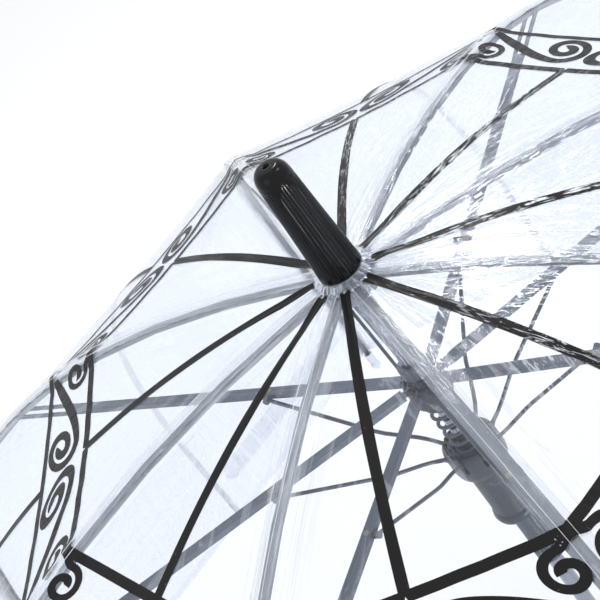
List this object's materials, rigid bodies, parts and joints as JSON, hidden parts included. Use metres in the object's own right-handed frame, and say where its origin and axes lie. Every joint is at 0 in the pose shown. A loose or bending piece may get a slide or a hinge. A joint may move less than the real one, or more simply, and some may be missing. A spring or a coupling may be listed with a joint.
{
  "type": "bubble umbrella",
  "caption": "Open dome umbrella of clear film on a ribbed frame, with a sprung runner on a tubular shaft, a long tapered top ferrule and a crook handle with a release button.",
  "frame": {"origin": "on the shaft's axis at the middle of the grip's straight part", "axes": "+Z along the shaft towards the ferrule, +X along the first rib and the way the crook turns"},
  "size_m": [0.867, 0.867, 0.8257],
  "materials": {
    "chrome": "polished chrome plate",
    "gloss_black": "glossy black moulded plastic",
    "notch_pale": "pale grey nylon",
    "clear_film": "clear glossy PVC film with printed black lines",
    "clear_collar": "clear soft PVC",
    "tip_pale": "pale milky nylon",
    "rib_grey": "light grey plated steel channel",
    "blue_steel": "blue-grey plated steel",
    "hub_dark": "satin dark slate nylon",
    "runner_slate": "dark slate moulded plastic",
    "button_grey": "satin silver-grey moulded plastic",
    "handle_black": "glossy black moulded plastic"
  },
  "bodies": {
    "root": {"shaft_tube": "chrome", "ferrule_cap": "gloss_black", "apex_collar": "clear_collar", "crown_disc": "clear_collar", "top_notch": "notch_pale", "notch_wire": "chrome", "stop_collar": "blue_steel", "button_housing": "handle_black", "button_spring": "chrome", "handle": "handle_black"},
    "hub": {"stretcher_hub": "hub_dark", "hub_wire": "chrome"},
    "runner_body": {"runner": "runner_slate", "runner_sleeve": "runner_slate", "runner_wire": "chrome", "main_spring": "chrome"},
    "button": {"push_button": "button_grey"},
    "rib_body_1": {"rib_1": "rib_grey", "rib_tip_1": "tip_pale", "canopy_1": "clear_film"},
    "stretcher_body_1": {"stretcher_1": "blue_steel"},
    "wire_body_1": {"wire_1": "chrome"},
    "rib_body_2": {"rib_2": "rib_grey", "rib_tip_2": "tip_pale", "canopy_2": "clear_film"},
    "stretcher_body_2": {"stretcher_2": "blue_steel"},
    "wire_body_2": {"wire_2": "chrome"},
    "rib_body_3": {"rib_3": "rib_grey", "rib_tip_3": "tip_pale", "canopy_3": "clear_film", "strap": "clear_collar", "strap_snap": "gloss_black"},
    "stretcher_body_3": {"stretcher_3": "blue_steel"},
    "wire_body_3": {"wire_3": "chrome"},
    "rib_body_4": {"rib_4": "rib_grey", "rib_tip_4": "tip_pale", "canopy_4": "clear_film"},
    "stretcher_body_4": {"stretcher_4": "blue_steel"},
    "wire_body_4": {"wire_4": "chrome"},
    "rib_body_5": {"rib_5": "rib_grey", "rib_tip_5": "tip_pale", "canopy_5": "clear_film"},
    "stretcher_body_5": {"stretcher_5": "blue_steel"},
    "wire_body_5": {"wire_5": "chrome"},
    "rib_body_6": {"rib_6": "rib_grey", "rib_tip_6": "tip_pale", "canopy_6": "clear_film"},
    "stretcher_body_6": {"stretcher_6": "blue_steel"},
    "wire_body_6": {"wire_6": "chrome"},
    "rib_body_7": {"rib_7": "rib_grey", "rib_tip_7": "tip_pale", "canopy_7": "clear_film"},
    "stretcher_body_7": {"stretcher_7": "blue_steel"},
    "wire_body_7": {"wire_7": "chrome"},
    "rib_body_8": {"rib_8": "rib_grey", "rib_tip_8": "tip_pale", "canopy_8": "clear_film"},
    "stretcher_body_8": {"stretcher_8": "blue_steel"},
    "wire_body_8": {"wire_8": "chrome"}
  },
  "joints": [
    {"name": "runner_slide", "type": "slide", "parent": "root", "child": "runner_body", "axis": [0, 0, 1], "range_m": [-0.31531, 0], "stiffness_N_per_m": 60, "springref_m": 0.3},
    {"name": "hub_slide", "type": "slide", "parent": "root", "child": "hub", "axis": [0, 0, 1], "range_m": [-0.34679, 0], "deforming": ["main_spring"]},
    {"name": "button_press", "type": "hinge", "parent": "root", "child": "button", "pos_m": [0, -0.0112, 0.1403], "axis": [1, 0, 0], "range_deg": [0, 6], "stiffness_Nm_per_rad": 0.6, "springref_deg": -8.59, "deforming": ["button_spring"]},
    {"name": "rib_hinge_1", "type": "hinge", "parent": "root", "child": "rib_body_1", "pos_m": [0.01, 0, 0.663], "axis": [0, 1, 0], "range_deg": [0, 46.2], "deforming": ["canopy_1"]},
    {"name": "stretcher_hinge_1", "type": "hinge", "parent": "hub", "child": "stretcher_body_1", "pos_m": [0.008, 0, 0.5962], "axis": [0, -1, 0], "range_deg": [0, 56.43]},
    {"name": "wire_hinge_1", "type": "hinge", "parent": "runner_body", "child": "wire_body_1", "pos_m": [0.0112, 0, 0.549], "axis": [0, -1, 0], "range_deg": [0, 31.03]},
    {"name": "rib_hinge_2", "type": "hinge", "parent": "root", "child": "rib_body_2", "pos_m": [0.00707, 0.00707, 0.663], "axis": [-0.7071, 0.7071, 0], "range_deg": [0, 46.2], "deforming": ["canopy_2"]},
    {"name": "stretcher_hinge_2", "type": "hinge", "parent": "hub", "child": "stretcher_body_2", "pos_m": [0.00566, 0.00566, 0.5962], "axis": [0.7071, -0.7071, 0], "range_deg": [0, 56.43]},
    {"name": "wire_hinge_2", "type": "hinge", "parent": "runner_body", "child": "wire_body_2", "pos_m": [0.00792, 0.00792, 0.549], "axis": [0.7071, -0.7071, 0], "range_deg": [0, 31.03]},
    {"name": "rib_hinge_3", "type": "hinge", "parent": "root", "child": "rib_body_3", "pos_m": [0, 0.01, 0.663], "axis": [-1, 0, 0], "range_deg": [0, 46.2], "deforming": ["canopy_3", "strap", "strap_snap"]},
    {"name": "stretcher_hinge_3", "type": "hinge", "parent": "hub", "child": "stretcher_body_3", "pos_m": [0, 0.008, 0.5962], "axis": [1, 0, 0], "range_deg": [0, 56.43]},
    {"name": "wire_hinge_3", "type": "hinge", "parent": "runner_body", "child": "wire_body_3", "pos_m": [0, 0.0112, 0.549], "axis": [1, 0, 0], "range_deg": [0, 31.03]},
    {"name": "rib_hinge_4", "type": "hinge", "parent": "root", "child": "rib_body_4", "pos_m": [-0.00707, 0.00707, 0.663], "axis": [-0.7071, -0.7071, 0], "range_deg": [0, 46.2], "deforming": ["canopy_4"]},
    {"name": "stretcher_hinge_4", "type": "hinge", "parent": "hub", "child": "stretcher_body_4", "pos_m": [-0.00566, 0.00566, 0.5962], "axis": [0.7071, 0.7071, 0], "range_deg": [0, 56.43]},
    {"name": "wire_hinge_4", "type": "hinge", "parent": "runner_body", "child": "wire_body_4", "pos_m": [-0.00792, 0.00792, 0.549], "axis": [0.7071, 0.7071, 0], "range_deg": [0, 31.03]},
    {"name": "rib_hinge_5", "type": "hinge", "parent": "root", "child": "rib_body_5", "pos_m": [-0.01, 0, 0.663], "axis": [0, -1, 0], "range_deg": [0, 46.2], "deforming": ["canopy_5"]},
    {"name": "stretcher_hinge_5", "type": "hinge", "parent": "hub", "child": "stretcher_body_5", "pos_m": [-0.008, 0, 0.5962], "axis": [0, 1, 0], "range_deg": [0, 56.43]},
    {"name": "wire_hinge_5", "type": "hinge", "parent": "runner_body", "child": "wire_body_5", "pos_m": [-0.0112, 0, 0.549], "axis": [0, 1, 0], "range_deg": [0, 31.03]},
    {"name": "rib_hinge_6", "type": "hinge", "parent": "root", "child": "rib_body_6", "pos_m": [-0.00707, -0.00707, 0.663], "axis": [0.7071, -0.7071, 0], "range_deg": [0, 46.2], "deforming": ["canopy_6"]},
    {"name": "stretcher_hinge_6", "type": "hinge", "parent": "hub", "child": "stretcher_body_6", "pos_m": [-0.00566, -0.00566, 0.5962], "axis": [-0.7071, 0.7071, 0], "range_deg": [0, 56.43]},
    {"name": "wire_hinge_6", "type": "hinge", "parent": "runner_body", "child": "wire_body_6", "pos_m": [-0.00792, -0.00792, 0.549], "axis": [-0.7071, 0.7071, 0], "range_deg": [0, 31.03]},
    {"name": "rib_hinge_7", "type": "hinge", "parent": "root", "child": "rib_body_7", "pos_m": [0, -0.01, 0.663], "axis": [1, 0, 0], "range_deg": [0, 46.2], "deforming": ["canopy_7"]},
    {"name": "stretcher_hinge_7", "type": "hinge", "parent": "hub", "child": "stretcher_body_7", "pos_m": [0, -0.008, 0.5962], "axis": [-1, 0, 0], "range_deg": [0, 56.43]},
    {"name": "wire_hinge_7", "type": "hinge", "parent": "runner_body", "child": "wire_body_7", "pos_m": [0, -0.0112, 0.549], "axis": [-1, 0, 0], "range_deg": [0, 31.03]},
    {"name": "rib_hinge_8", "type": "hinge", "parent": "root", "child": "rib_body_8", "pos_m": [0.00707, -0.00707, 0.663], "axis": [0.7071, 0.7071, 0], "range_deg": [0, 46.2], "deforming": ["canopy_8"]},
    {"name": "stretcher_hinge_8", "type": "hinge", "parent": "hub", "child": "stretcher_body_8", "pos_m": [0.00566, -0.00566, 0.5962], "axis": [-0.7071, -0.7071, 0], "range_deg": [0, 56.43]},
    {"name": "wire_hinge_8", "type": "hinge", "parent": "runner_body", "child": "wire_body_8", "pos_m": [0.00792, -0.00792, 0.549], "axis": [-0.7071, -0.7071, 0], "range_deg": [0, 31.03]}
  ],
  "couplings": [
    {"joint": "hub_slide", "follows": "runner_slide", "ratio": 1.0998},
    {"joint": "rib_hinge_1", "follows": "runner_slide", "rad_per_m": -2.5573},
    {"joint": "stretcher_hinge_1", "follows": "runner_slide", "rad_per_m": -3.1238},
    {"joint": "wire_hinge_1", "follows": "runner_slide", "rad_per_m": -1.7175},
    {"joint": "rib_hinge_2", "follows": "runner_slide", "rad_per_m": -2.5573},
    {"joint": "stretcher_hinge_2", "follows": "runner_slide", "rad_per_m": -3.1238},
    {"joint": "wire_hinge_2", "follows": "runner_slide", "rad_per_m": -1.7175},
    {"joint": "rib_hinge_3", "follows": "runner_slide", "rad_per_m": -2.5573},
    {"joint": "stretcher_hinge_3", "follows": "runner_slide", "rad_per_m": -3.1238},
    {"joint": "wire_hinge_3", "follows": "runner_slide", "rad_per_m": -1.7175},
    {"joint": "rib_hinge_4", "follows": "runner_slide", "rad_per_m": -2.5573},
    {"joint": "stretcher_hinge_4", "follows": "runner_slide", "rad_per_m": -3.1238},
    {"joint": "wire_hinge_4", "follows": "runner_slide", "rad_per_m": -1.7175},
    {"joint": "rib_hinge_5", "follows": "runner_slide", "rad_per_m": -2.5573},
    {"joint": "stretcher_hinge_5", "follows": "runner_slide", "rad_per_m": -3.1238},
    {"joint": "wire_hinge_5", "follows": "runner_slide", "rad_per_m": -1.7175},
    {"joint": "rib_hinge_6", "follows": "runner_slide", "rad_per_m": -2.5573},
    {"joint": "stretcher_hinge_6", "follows": "runner_slide", "rad_per_m": -3.1238},
    {"joint": "wire_hinge_6", "follows": "runner_slide", "rad_per_m": -1.7175},
    {"joint": "rib_hinge_7", "follows": "runner_slide", "rad_per_m": -2.5573},
    {"joint": "stretcher_hinge_7", "follows": "runner_slide", "rad_per_m": -3.1238},
    {"joint": "wire_hinge_7", "follows": "runner_slide", "rad_per_m": -1.7175},
    {"joint": "rib_hinge_8", "follows": "runner_slide", "rad_per_m": -2.5573},
    {"joint": "stretcher_hinge_8", "follows": "runner_slide", "rad_per_m": -3.1238},
    {"joint": "wire_hinge_8", "follows": "runner_slide", "rad_per_m": -1.7175}
  ]
}
